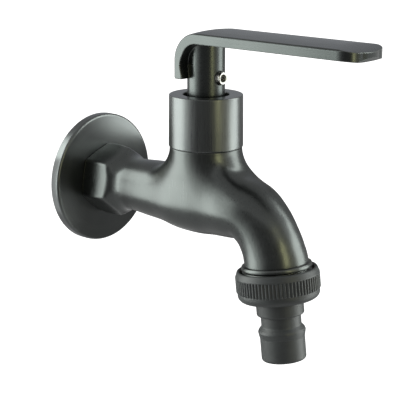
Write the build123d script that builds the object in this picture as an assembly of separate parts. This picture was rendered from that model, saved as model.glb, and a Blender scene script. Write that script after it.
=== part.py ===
from build123d import *
import math
import os

# A quarter-turn hose bibb. Units are millimetres.
# The origin is the centre of the wall plane, on the axis of the inlet.
# +X runs out of the wall along the inlet, and +Z is up.

# Wall flange: a shallow turned cup, open to the wall, with a rubber ring inside
FLANGE_RADIUS = 25.9
FLANGE_DEPTH = 3.9
FLANGE_BEVEL = 1.0
FLANGE_WALL = 1.3
FLANGE_HOLE_RADIUS = 10.7
GASKET_INNER_RADIUS = 19.0
GASKET_OUTER_RADIUS = 24.0

# Pipe threads: G 1/2 on the inlet and G 3/4 on the outlet, 14 turns to the inch
PIPE_PITCH = 1.814
INLET_MAJOR_RADIUS = 20.955 / 2
INLET_MINOR_RADIUS = 18.631 / 2
OUTLET_MAJOR_RADIUS = 26.441 / 2
OUTLET_MINOR_RADIUS = 24.117 / 2
INLET_LENGTH = 14.0
INLET_PLAIN_LENGTH = 1.6
INLET_BORE_RADIUS = 6.5

# Hexagon for the wrench, turned a few degrees about the inlet as it was screwed in
HEX_ACROSS_FLATS = 23.4
HEX_TURN = -9.0
HEX_CORNER_END = 15.0
HEX_CHAMFER_RISE = 0.5
SHOULDER_RADIUS = 10.9
WAIST_RADIUS = 9.8
WAIST_X = 23.6

# Belly and spout: (x, z, heading below the horizontal in degrees, radius) of round sections
BODY_SECTIONS = (
    (WAIST_X, 0.0, 0.0, WAIST_RADIUS),
    (31.0, 0.0, 0.0, 10.85),
    (40.0, 0.0, 0.0, 11.45),
    (49.5, 0.0, 0.0, 12.45),
    (58.4, 0.0, 0.0, 12.6),
    (67.0, 0.0, 0.0, 12.1),
    (74.5, 0.0, 2.0, 11.95),
    (80.4, -0.9, 20.0, 11.25),
    (85.2, -4.1, 42.0, 10.85),
    (89.0, -8.8, 60.0, 10.95),
    (91.6, -14.0, 72.0, 11.35),
)
SPOUT_END_RADIUS = 11.7
OUTLET_TILT = 7.0
OUTLET_X = 93.39
OUTLET_Z = -22.52

# Neck: (z, half width along X, half width along Y) of oval sections that flare into the belly
NECK_X = 58.35
NECK_TOP = 20.8
NECK_RADIUS = 13.6
NECK_SECTIONS = (
    (-2.0, 19.3, 11.6),
    (3.0, 19.4, 12.4),
    (8.0, 18.9, 13.0),
    (11.6, 17.6, 13.3),
    (14.0, 16.1, 13.45),
    (16.5, 14.8, 13.55),
    (18.8, 13.85, 13.6),
    (NECK_TOP, NECK_RADIUS, NECK_RADIUS),
)
NECK_BLEND = 6.0
NECK_BORE_RADIUS = 10.3

# Waterway inside the body
SEAT_Z = -0.5
ORIFICE_RADIUS = 4.5
INLET_CORE = (
    (37.0, 0.0, 0.0, 6.5, 6.5),
    (44.5, -3.6, 38.0, 6.2, 4.6),
    (50.5, -6.6, 14.0, 5.8, 3.7),
    (61.5, -7.0, 0.0, 5.2, 3.6),
)
OUTLET_CORE = (
    (64.5, 4.0, 4.0, 4.4),
    (71.0, 2.2, 12.0, 7.0),
    (77.5, 0.0, 14.0, 8.3),
    (82.5, -2.3, 28.0, 8.2),
    (87.0, -6.4, 50.0, 8.1),
    (90.3, -12.0, 66.0, 8.4),
)
OUTLET_BORE_RADIUS = 9.0

# Outlet end, at distances along the tilted axis from the top of the nut's ribs
COLLAR_TOP = -4.5
COLLAR_RADIUS = 13.1
THREAD_TOP = -2.9
THREAD_END = 3.1

# Union nut
NUT_TOP = -2.5
NUT_BOTTOM = 9.0
NUT_RADIUS = 15.6
NUT_TOP_RADIUS = 14.9
NUT_SKIRT_RADIUS = 15.2
NUT_BORE_RADIUS = 13.30
NUT_MOUTH_RADIUS = 14.2
NUT_LIP_TOP = 6.9
NUT_LIP_RADIUS = 9.15
RIB_COUNT = 72
RIB_LENGTH = 5.55
RIB_HEIGHT = 0.45

# Hose nipple and its washer
WASHER_THICKNESS = 2.2
WASHER_INNER_RADIUS = 8.0
WASHER_OUTER_RADIUS = 12.4
NIPPLE_FLANGE_RADIUS = 12.4
NIPPLE_FLANGE_BOTTOM = 6.8
NIPPLE_COLLAR_RADIUS = 8.83
NIPPLE_COLLAR_BOTTOM = 14.8
NIPPLE_NECK_RADIUS = 7.46
NIPPLE_NECK_BOTTOM = 18.9
NIPPLE_RIDGE_RADIUS = 8.85
NIPPLE_RIDGE_Z = 21.0
NIPPLE_STEP_Z = 23.0
NIPPLE_BARREL_RADIUS = 8.33
NIPPLE_BOTTOM = 32.1
NIPPLE_BORE_RADIUS = 5.8

# Bonnet sleeve over the headwork
SLEEVE_RADIUS = 13.85
SLEEVE_TOP_RADIUS = 13.7
SLEEVE_TOP = 40.4
SLEEVE_MOUTH_RADIUS = 8.7
SLEEVE_THREAD_RADIUS = 9.6
SLEEVE_THREAD_TOP = 33.4
SLEEVE_SKIRT_RADIUS = 12.1
SLEEVE_STEP_Z = 25.6

# Headwork: the ceramic cartridge, from its rubber seat seal upwards
SEAL_TOP = 2.4
SEAL_INNER_RADIUS = 5.2
FIXED_DISC_TOP = 5.4
ROTATING_DISC_TOP = 8.4
DISC_RADIUS = 7.5
DISC_WINDOW_RADIUS = 6.4
DISC_HUB_RADIUS = 1.8
HOUSING_BOTTOM = 0.3
HOUSING_LOWER_RADIUS = 8.8
HOUSING_THREAD_RADIUS = 10.25
HOUSING_THREAD_BOTTOM = 11.0
HOUSING_BORE_RADIUS = 7.7
HOUSING_STEP_Z = 12.35
HOUSING_TOP = 32.4
HOUSING_NECK_RADIUS = 9.55
HOUSING_FLANGE_TOP = 24.6
HOUSING_HEX_ACROSS_FLATS = 20.0
UNDERCUT_RADIUS = 9.2
UNDERCUT_Z = 19.5
WINDOW_WIDTH = 9.0
WINDOW_BOTTOM = 5.6
WINDOW_TOP = 10.1

# Spindle
SPINDLE_SHOULDER_RADIUS = 7.45
SPINDLE_SHOULDER_BOTTOM = 8.45
SPINDLE_SHOULDER_TOP = 11.7
SPINDLE_BODY_RADIUS = 5.0
SPINDLE_BORE_RADIUS = 5.05
SPINDLE_BODY_TOP = 26.0
SPINDLE_SHANK_RADIUS = 4.3
GROOVE_RADIUS = 3.65
O_RING_SECTION = 0.67
O_RING_HEIGHTS = {"spindle_o_ring_lower": 15.0, "spindle_o_ring_upper": 19.0}
SPLINE_BOTTOM = 41.2
SPLINE_TOP = 51.6
SPLINE_COUNT = 20
SPLINE_ROOT_RADIUS = 3.6
SPLINE_TIP_RADIUS = 3.95
LUG_WIDTH = 2.6
LUG_DEPTH = 1.5
STOP_MIDDLE = 45.0
STOP_WIDTH = 20.0
STOP_RADIUS = 6.3
CLIP_BOTTOM = 32.45
CLIP_TOP = 33.15
CLIP_INNER_RADIUS = 3.7
CLIP_OUTER_RADIUS = 5.15
QUARTER_TURN = 90.0

# Lever: one casting with a flat plate, a hook at the rear and a stem
PLATE_TOP = 64.6
PLATE_BOTTOM = 59.5
PLATE_EDGE_BOTTOM = 60.3
PLATE_FRONT_X = 132.0
PLATE_HALF_WIDTH = 11.0
PLATE_CROWN = 0.6
PLATE_EDGE_RADIUS = 0.9
PLATE_FRONT_BOW = 0.8
PLATE_CORNER = 6.2
PLATE_UNDERCUT = 1.5
NOSE_START_X = 118.0
NOSE_RADIUS = 55.0
HOOK_OUTER_X = 51.5
HOOK_INNER_X = 55.0
HOOK_FOOT_X = 56.0
HOOK_FOOT_Z = 46.8
HOOK_FOOT_CORNER = 1.4
HOOK_BEND_RADIUS = 11.2
HOOK_INNER_RADIUS = 8.0
STEM_RADIUS = 7.05
STEM_BOTTOM = 33.9
STEM_BORE_RADIUS = 5.3
STEM_BORE_TOP = 52.6
BUSH_BOTTOM = 41.6
BUSH_OUTER_RADIUS = 5.28
GUIDE_BOTTOM = 34.2
GUIDE_TOP = 37.2

# Grub screw in the stem, facing the outlet
GRUB_Z = 47.0
GRUB_MAJOR_RADIUS = 2.45
GRUB_MINOR_RADIUS = 2.05
GRUB_PITCH = 0.8
GRUB_TIP = 4.0
GRUB_END = STEM_RADIUS + 1.4
GRUB_SOCKET_ACROSS_FLATS = 2.5
GRUB_SOCKET_DEPTH = 2.4

TILT = math.radians(OUTLET_TILT)
INLET = Plane(origin=(0, 0, 0), x_dir=(0, 1, 0), z_dir=(1, 0, 0))
NECK = Plane(origin=(NECK_X, 0, 0))
UPRIGHT = Plane(origin=(0, 0, 0), x_dir=(1, 0, 0), z_dir=(0, -1, 0))
OUTLET = Plane(
    origin=(OUTLET_X, 0, OUTLET_Z),
    x_dir=(math.cos(TILT), 0, math.sin(TILT)),
    z_dir=(math.sin(TILT), 0, -math.cos(TILT)),
)


def turned(plane, points):
    """A solid of revolution about the plane's z axis, from (radius, height) points."""
    outline = make_face(Polyline(*[(r, 0, z) for r, z in points], close=True))
    return plane * revolve(outline, Axis.Z)


def pipe(plane, outer, inner, bottom, top):
    """A straight round tube about the plane's z axis."""
    return turned(plane, [(inner, bottom), (outer, bottom), (outer, top), (inner, top)])


def rod(plane, radius, bottom, top):
    """A straight round bar about the plane's z axis."""
    return turned(plane, [(0, bottom), (radius, bottom), (radius, top), (0, top)])


def threaded_rod(plane, major, minor, bottom, top, pitch):
    """A male thread: an eccentric circle, twisted one turn for each pitch, with bevelled ends."""
    offset = (major - minor) / 2
    length = top - bottom
    circle = Pos(offset, 0, bottom) * Wire.make_circle((major + minor) / 2)
    turns = length / pitch
    twisted = Solid.extrude_linear_with_rotation(
        circle, (0, 0, bottom), (0, 0, length), 360.0 * turns
    )
    depth = major - minor
    envelope = turned(
        Plane.XY,
        [
            (0, bottom),
            (minor, bottom),
            (major + depth, bottom + 2 * depth),
            (major + depth, top - 2 * depth),
            (minor, top),
            (0, top),
        ],
    )
    return plane * (twisted & envelope)


def hexagon(plane, across_flats, bottom, top, turn=0.0):
    """A hexagonal bar with a corner on the plane's y axis before it is turned."""
    outline = RegularPolygon(across_flats / math.sqrt(3), 6, rotation=30 + turn)
    return plane * Pos(0, 0, bottom) * extrude(outline, top - bottom)


def section(x, z, heading, half_width, half_height=None):
    """A round or oval section of the body, square to a heading in the XZ plane."""
    angle = math.radians(heading)
    plane = Plane(
        origin=(x, 0, z),
        x_dir=(0, 1, 0),
        z_dir=(math.cos(angle), 0, -math.sin(angle)),
    )
    if half_height is None:
        return plane * Circle(half_width).face()
    return plane * Ellipse(half_width, half_height).face()


def sector(plane, radius, bottom, top, middle, width):
    """A pie slice about the plane's z axis, with its middle at an angle in degrees."""
    arc = CenterArc((0, 0), radius, middle - width / 2, width)
    outline = make_face([Line((0, 0), arc @ 0), arc, Line(arc @ 1, (0, 0))])
    return plane * Pos(0, 0, bottom) * extrude(outline, top - bottom)


def body_outside():
    """The outside of the casting: shank, hexagon, belly, neck and spout."""
    end = OUTLET.from_local_coords(Vector(0, 0, COLLAR_TOP))
    rounds = [section(*row) for row in BODY_SECTIONS]
    rounds.append(section(end.X, end.Z, 90 - OUTLET_TILT, SPOUT_END_RADIUS))
    belly = Part(loft(rounds).wrapped)
    ovals = [Pos(NECK_X, 0, z) * Ellipse(a, b).face() for z, a, b in NECK_SECTIONS]
    neck = Part(loft(ovals).wrapped)
    blended = belly + neck
    reach = NECK_SECTIONS[0][1] + NECK_BLEND
    crease = [
        edge
        for edge in blended.edges()
        if abs(edge.center().X - NECK_X) < reach
        and NECK_SECTIONS[0][0] < edge.bounding_box().min.Z
        and edge.bounding_box().max.Z < NECK_TOP - 1.0
    ]
    return fillet(crease, NECK_BLEND)


def inlet_outside():
    """The shank and its thread, the hexagon with its chamfer, and the waist behind the belly."""
    corner = HEX_ACROSS_FLATS / math.sqrt(3)
    hexagonal = hexagon(INLET, HEX_ACROSS_FLATS, FLANGE_DEPTH, WAIST_X, HEX_TURN)
    chamfer_foot = HEX_CORNER_END + (corner - SHOULDER_RADIUS) * HEX_CHAMFER_RISE
    waist = Spline(
        (SHOULDER_RADIUS, 0, chamfer_foot),
        ((SHOULDER_RADIUS + 2 * WAIST_RADIUS) / 3, 0, (chamfer_foot + WAIST_X) / 2),
        (WAIST_RADIUS, 0, WAIST_X),
        tangents=((-1, 0, 0.9), (0.1, 0, 1)),
    )
    outline = make_face(
        [
            Polyline(
                (WAIST_RADIUS, 0, WAIST_X),
                (0, 0, WAIST_X),
                (0, 0, FLANGE_DEPTH),
                (corner, 0, FLANGE_DEPTH),
                (corner, 0, HEX_CORNER_END),
                (SHOULDER_RADIUS, 0, chamfer_foot),
            ),
            waist,
        ]
    )
    envelope = INLET * revolve(outline, Axis.Z)
    shank = rod(INLET, INLET_MINOR_RADIUS + 0.5, -INLET_PLAIN_LENGTH, FLANGE_DEPTH)
    thread = threaded_rod(
        INLET,
        INLET_MAJOR_RADIUS,
        INLET_MINOR_RADIUS,
        -INLET_LENGTH,
        -INLET_PLAIN_LENGTH,
        PIPE_PITCH,
    )
    return (hexagonal & envelope) + shank + thread


def outlet_outside():
    """The outlet's collar and its male thread."""
    collar = turned(
        OUTLET,
        [
            (0, COLLAR_TOP),
            (COLLAR_RADIUS - 0.9, COLLAR_TOP),
            (COLLAR_RADIUS - 0.25, COLLAR_TOP + 0.3),
            (COLLAR_RADIUS, COLLAR_TOP + 0.9),
            (COLLAR_RADIUS, THREAD_TOP),
            (0, THREAD_TOP),
        ],
    )
    thread = threaded_rod(
        OUTLET,
        OUTLET_MAJOR_RADIUS,
        OUTLET_MINOR_RADIUS,
        THREAD_TOP,
        THREAD_END,
        PIPE_PITCH,
    )
    return collar + thread


def waterway():
    """The cores of the casting: inlet bore, drop under the seat, chamber and outlet bore."""
    inlet = rod(INLET, INLET_BORE_RADIUS, -INLET_LENGTH, INLET_CORE[0][0])
    drop = Part(loft([section(*row) for row in INLET_CORE]).wrapped)
    orifice = rod(NECK, ORIFICE_RADIUS, INLET_CORE[-1][1], SEAT_Z)
    chamber = rod(NECK, NECK_BORE_RADIUS, SEAT_Z, NECK_TOP)
    end = OUTLET.from_local_coords(Vector(0, 0, COLLAR_TOP))
    rounds = [section(*row) for row in OUTLET_CORE]
    rounds.append(section(end.X, end.Z, 90 - OUTLET_TILT, OUTLET_BORE_RADIUS))
    turn = Part(loft(rounds).wrapped)
    outlet = rod(OUTLET, OUTLET_BORE_RADIUS, COLLAR_TOP, THREAD_END)
    return [inlet, drop, orifice, chamber, turn, outlet]


def body_casting():
    body = body_outside() + inlet_outside() + outlet_outside()
    for core in waterway():
        body -= core
    return body


def wall_flange():
    rim = FLANGE_RADIUS
    return turned(
        INLET,
        [
            (rim, 0),
            (rim, FLANGE_DEPTH - FLANGE_BEVEL),
            (rim - 0.3 * FLANGE_BEVEL, FLANGE_DEPTH - 0.3 * FLANGE_BEVEL),
            (rim - FLANGE_BEVEL, FLANGE_DEPTH),
            (FLANGE_HOLE_RADIUS, FLANGE_DEPTH),
            (FLANGE_HOLE_RADIUS, FLANGE_DEPTH - FLANGE_WALL),
            (rim - FLANGE_WALL, FLANGE_DEPTH - FLANGE_WALL),
            (rim - FLANGE_WALL, 0),
        ],
    )


def flange_gasket():
    return pipe(INLET, GASKET_OUTER_RADIUS, GASKET_INNER_RADIUS, 0, FLANGE_DEPTH - FLANGE_WALL)


def bonnet_sleeve():
    """A turned sleeve, threaded inside on the headwork and bevelled where it meets the neck."""
    return turned(
        NECK,
        [
            (SLEEVE_SKIRT_RADIUS, NECK_TOP),
            (SLEEVE_RADIUS - 0.45, NECK_TOP),
            (SLEEVE_RADIUS, NECK_TOP + 0.5),
            (SLEEVE_TOP_RADIUS, SLEEVE_TOP - 0.3),
            (SLEEVE_TOP_RADIUS - 0.3, SLEEVE_TOP),
            (SLEEVE_MOUTH_RADIUS + 0.3, SLEEVE_TOP),
            (SLEEVE_MOUTH_RADIUS, SLEEVE_TOP - 0.3),
            (SLEEVE_MOUTH_RADIUS, SLEEVE_THREAD_TOP),
            (SLEEVE_THREAD_RADIUS, SLEEVE_THREAD_TOP),
            (SLEEVE_THREAD_RADIUS, SLEEVE_STEP_Z),
            (SLEEVE_SKIRT_RADIUS, SLEEVE_STEP_Z),
        ],
    )


def sleeve_washer():
    outer = SLEEVE_SKIRT_RADIUS - 1.0
    return pipe(NECK, outer, SLEEVE_THREAD_RADIUS, HOUSING_FLANGE_TOP, SLEEVE_STEP_Z)


def headwork_gasket():
    return pipe(NECK, NECK_BORE_RADIUS, UNDERCUT_RADIUS, UNDERCUT_Z, NECK_TOP)


def guide_ring():
    """A plain bearing ring in the sleeve's mouth, round the stem."""
    return pipe(NECK, SLEEVE_MOUTH_RADIUS, STEM_RADIUS + 0.06, GUIDE_BOTTOM, GUIDE_TOP)


def headwork_housing():
    """The cartridge's body, with two side windows, a stop key and a hexagon."""
    outside = turned(
        NECK,
        [
            (0, HOUSING_BOTTOM),
            (HOUSING_LOWER_RADIUS, HOUSING_BOTTOM),
            (HOUSING_LOWER_RADIUS, HOUSING_THREAD_BOTTOM),
            (HOUSING_THREAD_RADIUS, HOUSING_THREAD_BOTTOM + 0.8),
            (HOUSING_THREAD_RADIUS, UNDERCUT_Z),
            (UNDERCUT_RADIUS, UNDERCUT_Z),
            (UNDERCUT_RADIUS, NECK_TOP),
            (HOUSING_NECK_RADIUS, HOUSING_FLANGE_TOP),
            (HOUSING_NECK_RADIUS, HOUSING_TOP - 0.5),
            (HOUSING_NECK_RADIUS - 0.5, HOUSING_TOP),
            (0, HOUSING_TOP),
        ],
    )
    wrench_hex = hexagon(NECK, HOUSING_HEX_ACROSS_FLATS, NECK_TOP, HOUSING_FLANGE_TOP)
    bore = turned(
        NECK,
        [
            (0, HOUSING_BOTTOM),
            (HOUSING_BORE_RADIUS, HOUSING_BOTTOM),
            (HOUSING_BORE_RADIUS, HOUSING_STEP_Z),
            (SPINDLE_BORE_RADIUS, HOUSING_STEP_Z),
            (SPINDLE_BORE_RADIUS, HOUSING_TOP),
            (0, HOUSING_TOP),
        ],
    )
    housing = outside + wrench_hex - bore
    window = Box(2 * HOUSING_THREAD_RADIUS, WINDOW_WIDTH, WINDOW_TOP - WINDOW_BOTTOM)
    housing -= Pos(NECK_X, 0, (WINDOW_TOP + WINDOW_BOTTOM) / 2) * window
    key = sector(
        NECK,
        HOUSING_BORE_RADIUS + 0.5,
        WINDOW_TOP + 0.1,
        SPINDLE_SHOULDER_TOP - 0.05,
        STOP_MIDDLE,
        STOP_WIDTH,
    ) - rod(NECK, STOP_RADIUS, HOUSING_BOTTOM, HOUSING_STEP_Z)
    return housing + key


def disc(bottom, top, radius, middle):
    """A ceramic disc with two facing windows, whose middles lie along an angle."""
    plate = rod(NECK, radius, bottom, top)
    for side in (0, 180):
        window = sector(NECK, DISC_WINDOW_RADIUS, bottom, top, middle + side, 80.0)
        plate -= window - rod(NECK, DISC_HUB_RADIUS, bottom, top)
    return plate


def fixed_disc():
    """The fixed disc, keyed to the housing, with windows on the side ways."""
    return disc(SEAL_TOP, FIXED_DISC_TOP, DISC_RADIUS, 0.0)


def rotating_disc():
    """The turning disc: shut at rest, with two slots on top for the spindle's lugs."""
    plate = disc(FIXED_DISC_TOP, ROTATING_DISC_TOP, DISC_RADIUS - 0.1, 90.0)
    return plate - lugs(0.05, 0.1)


def lugs(side_room, end_room):
    """The two driving lugs under the spindle's shoulder, with room round them for their slots."""
    width = LUG_WIDTH + 2 * side_room
    depth = LUG_DEPTH + end_room
    reach = 2 * (DISC_RADIUS + 1)
    bar = Pos(NECK_X, 0, SPINDLE_SHOULDER_BOTTOM - depth / 2) * Box(reach, width, depth)
    gap = 2 * (DISC_HUB_RADIUS + 1.4 - end_room)
    bar -= Pos(NECK_X, 0, SPINDLE_SHOULDER_BOTTOM - depth / 2) * Box(gap, width, depth)
    return bar


def spindle():
    """The spindle: driving lugs, stop shoulder, two ring grooves, clip groove and splines."""
    profile = [
        (0, SPINDLE_SHOULDER_BOTTOM),
        (SPINDLE_SHOULDER_RADIUS, SPINDLE_SHOULDER_BOTTOM),
        (SPINDLE_SHOULDER_RADIUS, SPINDLE_SHOULDER_TOP),
        (SPINDLE_BODY_RADIUS, SPINDLE_SHOULDER_TOP),
    ]
    for height in sorted(O_RING_HEIGHTS.values()):
        low, high = height - O_RING_SECTION - 0.08, height + O_RING_SECTION + 0.08
        profile += [
            (SPINDLE_BODY_RADIUS, low),
            (GROOVE_RADIUS, low),
            (GROOVE_RADIUS, high),
            (SPINDLE_BODY_RADIUS, high),
        ]
    profile += [
        (SPINDLE_BODY_RADIUS, SPINDLE_BODY_TOP),
        (SPINDLE_SHANK_RADIUS, SPINDLE_BODY_TOP + 0.6),
        (SPINDLE_SHANK_RADIUS, CLIP_BOTTOM - 0.05),
        (CLIP_INNER_RADIUS, CLIP_BOTTOM - 0.05),
        (CLIP_INNER_RADIUS, CLIP_TOP + 0.05),
        (SPINDLE_SHANK_RADIUS, CLIP_TOP + 0.05),
        (SPINDLE_SHANK_RADIUS, SPLINE_BOTTOM - 0.4),
        (SPLINE_ROOT_RADIUS, SPLINE_BOTTOM),
        (SPLINE_ROOT_RADIUS, SPLINE_TOP),
        (0, SPLINE_TOP),
    ]
    shaft = turned(NECK, profile) + splines(SPLINE_TIP_RADIUS, SPLINE_BOTTOM, SPLINE_TOP)
    lug_bar = lugs(0.0, 0.0) & rod(NECK, SPINDLE_SHOULDER_RADIUS - 0.3, 0, SPINDLE_SHOULDER_TOP)
    travel = QUARTER_TURN + STOP_WIDTH + 2.0
    recess = sector(
        NECK,
        SPINDLE_SHOULDER_RADIUS + 1,
        WINDOW_TOP,
        SPINDLE_SHOULDER_TOP,
        STOP_MIDDLE - QUARTER_TURN / 2,
        travel,
    ) - rod(NECK, STOP_RADIUS - 0.1, WINDOW_TOP, SPINDLE_SHOULDER_TOP)
    return shaft + lug_bar - recess


def splines(tip_radius, bottom, top):
    """A splined bar: a star with as many blunt teeth as the spindle has."""
    pitch = 2 * math.pi / SPLINE_COUNT
    corners = []
    for tooth in range(SPLINE_COUNT):
        for share, radius in (
            (-0.38, SPLINE_ROOT_RADIUS),
            (-0.12, tip_radius),
            (0.12, tip_radius),
            (0.38, SPLINE_ROOT_RADIUS),
        ):
            angle = (tooth + share) * pitch
            corners.append((radius * math.cos(angle), radius * math.sin(angle)))
    star = make_face(Polyline(*corners, close=True))
    return NECK * Pos(0, 0, bottom) * extrude(star, top - bottom)


def spline_bush():
    """The bush between the spindle and the stem, with a way through for the grub screw."""
    bush = rod(NECK, BUSH_OUTER_RADIUS, BUSH_BOTTOM, STEM_BORE_TOP - 0.3)
    bush -= splines(SPLINE_TIP_RADIUS + 0.03, BUSH_BOTTOM, SPLINE_TOP + 0.05)
    bush -= rod(NECK, SPLINE_ROOT_RADIUS + 0.03, BUSH_BOTTOM, SPLINE_TOP + 0.05)
    bore = Plane(origin=(NECK_X, 0, GRUB_Z), z_dir=(1, 0, 0))
    return bush - rod(bore, GRUB_MAJOR_RADIUS + 0.05, 3.0, STEM_RADIUS)


def spindle_circlip():
    clip = pipe(NECK, CLIP_OUTER_RADIUS, CLIP_INNER_RADIUS, CLIP_BOTTOM, CLIP_TOP)
    return clip - sector(NECK, CLIP_OUTER_RADIUS + 1, CLIP_BOTTOM, CLIP_TOP, 180.0, 50.0)


def slide_washer():
    return pipe(
        NECK,
        SPINDLE_SHOULDER_RADIUS,
        SPINDLE_BODY_RADIUS + 0.02,
        SPINDLE_SHOULDER_TOP,
        HOUSING_STEP_Z - 0.05,
    )


def seat_seal():
    """A rubber ring with a bevelled lip, squeezed between the seat and the fixed disc."""
    return turned(
        NECK,
        [
            (SEAL_INNER_RADIUS, SEAT_Z),
            (DISC_RADIUS - 0.6, SEAT_Z),
            (DISC_RADIUS, HOUSING_BOTTOM),
            (DISC_RADIUS, SEAL_TOP),
            (SEAL_INNER_RADIUS, SEAL_TOP),
        ],
    )


def o_ring(height):
    middle = GROOVE_RADIUS + O_RING_SECTION
    return NECK * Pos(0, 0, height) * Torus(middle, O_RING_SECTION)


def lever_side():
    """The strap's outline from the side: its foot, inner bend and drooping, undercut front."""
    inner_x, inner_z = HOOK_INNER_X + HOOK_INNER_RADIUS, PLATE_BOTTOM - HOOK_INNER_RADIUS
    back, top, front = HOOK_OUTER_X - 1, PLATE_TOP + 1, PLATE_FRONT_X + 1
    foot_z = HOOK_FOOT_Z + HOOK_FOOT_CORNER + 1
    nose_top = PLATE_TOP + 0.02
    nose_middle, nose_end = [
        (x, nose_top - NOSE_RADIUS + math.sqrt(NOSE_RADIUS**2 - (x - NOSE_START_X) ** 2))
        for x in ((NOSE_START_X + front) / 2, front)
    ]
    undercut_x = PLATE_FRONT_X - PLATE_UNDERCUT
    undercut_z = PLATE_BOTTOM + PLATE_UNDERCUT + 1
    return make_face(
        [
            Line((HOOK_FOOT_X, HOOK_FOOT_Z), (HOOK_OUTER_X + HOOK_FOOT_CORNER, HOOK_FOOT_Z)),
            Line((HOOK_OUTER_X + HOOK_FOOT_CORNER, HOOK_FOOT_Z), (back, foot_z)),
            Line((back, foot_z), (back, top)),
            Line((back, top), (NOSE_START_X, top)),
            Line((NOSE_START_X, top), (NOSE_START_X, nose_top)),
            ThreePointArc((NOSE_START_X, nose_top), nose_middle, nose_end),
            Line(nose_end, (front, undercut_z)),
            Line((front, undercut_z), (undercut_x, PLATE_BOTTOM)),
            Line((undercut_x, PLATE_BOTTOM), (inner_x, PLATE_BOTTOM)),
            quarter_bend((inner_x, inner_z), HOOK_INNER_RADIUS),
            Line((HOOK_INNER_X, inner_z), (HOOK_FOOT_X, HOOK_FOOT_Z)),
        ]
    )


def quarter_bend(centre, radius):
    """A quarter circle from the left of its centre to the top of it."""
    x, z = centre
    half = radius * math.sqrt(0.5)
    return ThreePointArc((x - radius, z), (x - half, z + half), (x, z + radius))


def crown():
    """A strap of lens section, crowned outside and inside, from the hook's foot to the front."""
    side = PLATE_HALF_WIDTH
    depth = PLATE_TOP - PLATE_EDGE_BOTTOM
    belly = PLATE_TOP - PLATE_BOTTOM
    across = make_face(
        [
            ThreePointArc((-side, -PLATE_CROWN), (0, 0), (side, -PLATE_CROWN)),
            Line((side, -PLATE_CROWN), (side, -depth)),
            ThreePointArc((side, -depth), (0, -belly - 0.05), (-side, -depth)),
            Line((-side, -depth), (-side, -PLATE_CROWN)),
        ]
    )
    corners = [v for v in across.vertices() if v.Y > -2 * PLATE_CROWN]
    across = fillet(corners, PLATE_EDGE_RADIUS)
    start = (HOOK_OUTER_X, HOOK_FOOT_Z - 2)
    bend_x, bend_z = HOOK_OUTER_X + HOOK_BEND_RADIUS, PLATE_TOP - HOOK_BEND_RADIUS
    path = Wire(
        [
            Line(start, (HOOK_OUTER_X, bend_z)),
            quarter_bend((bend_x, bend_z), HOOK_BEND_RADIUS),
            Line((bend_x, PLATE_TOP), (PLATE_FRONT_X + 5, PLATE_TOP)),
        ]
    )
    foot = Plane(origin=(HOOK_OUTER_X, 0, start[1]), x_dir=(0, 1, 0), z_dir=(0, 0, 1))
    return sweep(foot * across, UPRIGHT * path)


def lever_handle():
    """The lever's casting: plate, rear hook and stem, bored for the spline bush."""
    strap = UPRIGHT * extrude(lever_side(), PLATE_HALF_WIDTH + 1, both=True)
    strap = strap & crown() & lever_plan()
    stem = rod(NECK, STEM_RADIUS, STEM_BOTTOM, PLATE_BOTTOM + 0.5)
    cut_x = HOOK_OUTER_X + HOOK_FOOT_CORNER + 0.3
    behind = Pos(cut_x - 5, 0, HOOK_FOOT_Z + 10) * Box(10, 30, 20)
    lever = strap + (stem - behind)
    lever -= rod(NECK, STEM_BORE_RADIUS, STEM_BOTTOM, STEM_BORE_TOP)
    screw_axis = Plane(origin=(NECK_X, 0, GRUB_Z), z_dir=(1, 0, 0))
    return lever - rod(screw_axis, GRUB_MAJOR_RADIUS + 0.15, 3.0, STEM_RADIUS + 2)


def lever_plan():
    """The lever's outline from above: straight sides, round corners and a slightly bowed front."""
    back = HOOK_OUTER_X - 5
    height = PLATE_TOP - HOOK_FOOT_Z + 4
    corner_x = PLATE_FRONT_X - PLATE_CORNER
    side = PLATE_HALF_WIDTH
    inner = side - PLATE_CORNER
    bow = PLATE_FRONT_X - PLATE_FRONT_BOW
    half = PLATE_CORNER * (1 - math.sqrt(0.5))
    plan = make_face(
        [
            Line((back, side), (corner_x - PLATE_FRONT_BOW, side)),
            ThreePointArc(
                (corner_x - PLATE_FRONT_BOW, side), (bow - half, side - half), (bow, inner)
            ),
            ThreePointArc((bow, inner), (PLATE_FRONT_X, 0), (bow, -inner)),
            ThreePointArc(
                (bow, -inner), (bow - half, half - side), (corner_x - PLATE_FRONT_BOW, -side)
            ),
            Line((corner_x - PLATE_FRONT_BOW, -side), (back, -side)),
            Line((back, -side), (back, side)),
        ]
    )
    return Pos(0, 0, HOOK_FOOT_Z - 2) * extrude(plan, height)


def grub_screw():
    """A socket set screw across the stem, with its socket end standing proud."""
    axis = Plane(origin=(NECK_X, 0, GRUB_Z), z_dir=(1, 0, 0))
    screw = threaded_rod(
        axis, GRUB_MAJOR_RADIUS, GRUB_MINOR_RADIUS, GRUB_TIP, GRUB_END, GRUB_PITCH
    )
    return screw - hexagon(
        axis, GRUB_SOCKET_ACROSS_FLATS, GRUB_END - GRUB_SOCKET_DEPTH, GRUB_END + 1
    )


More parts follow.
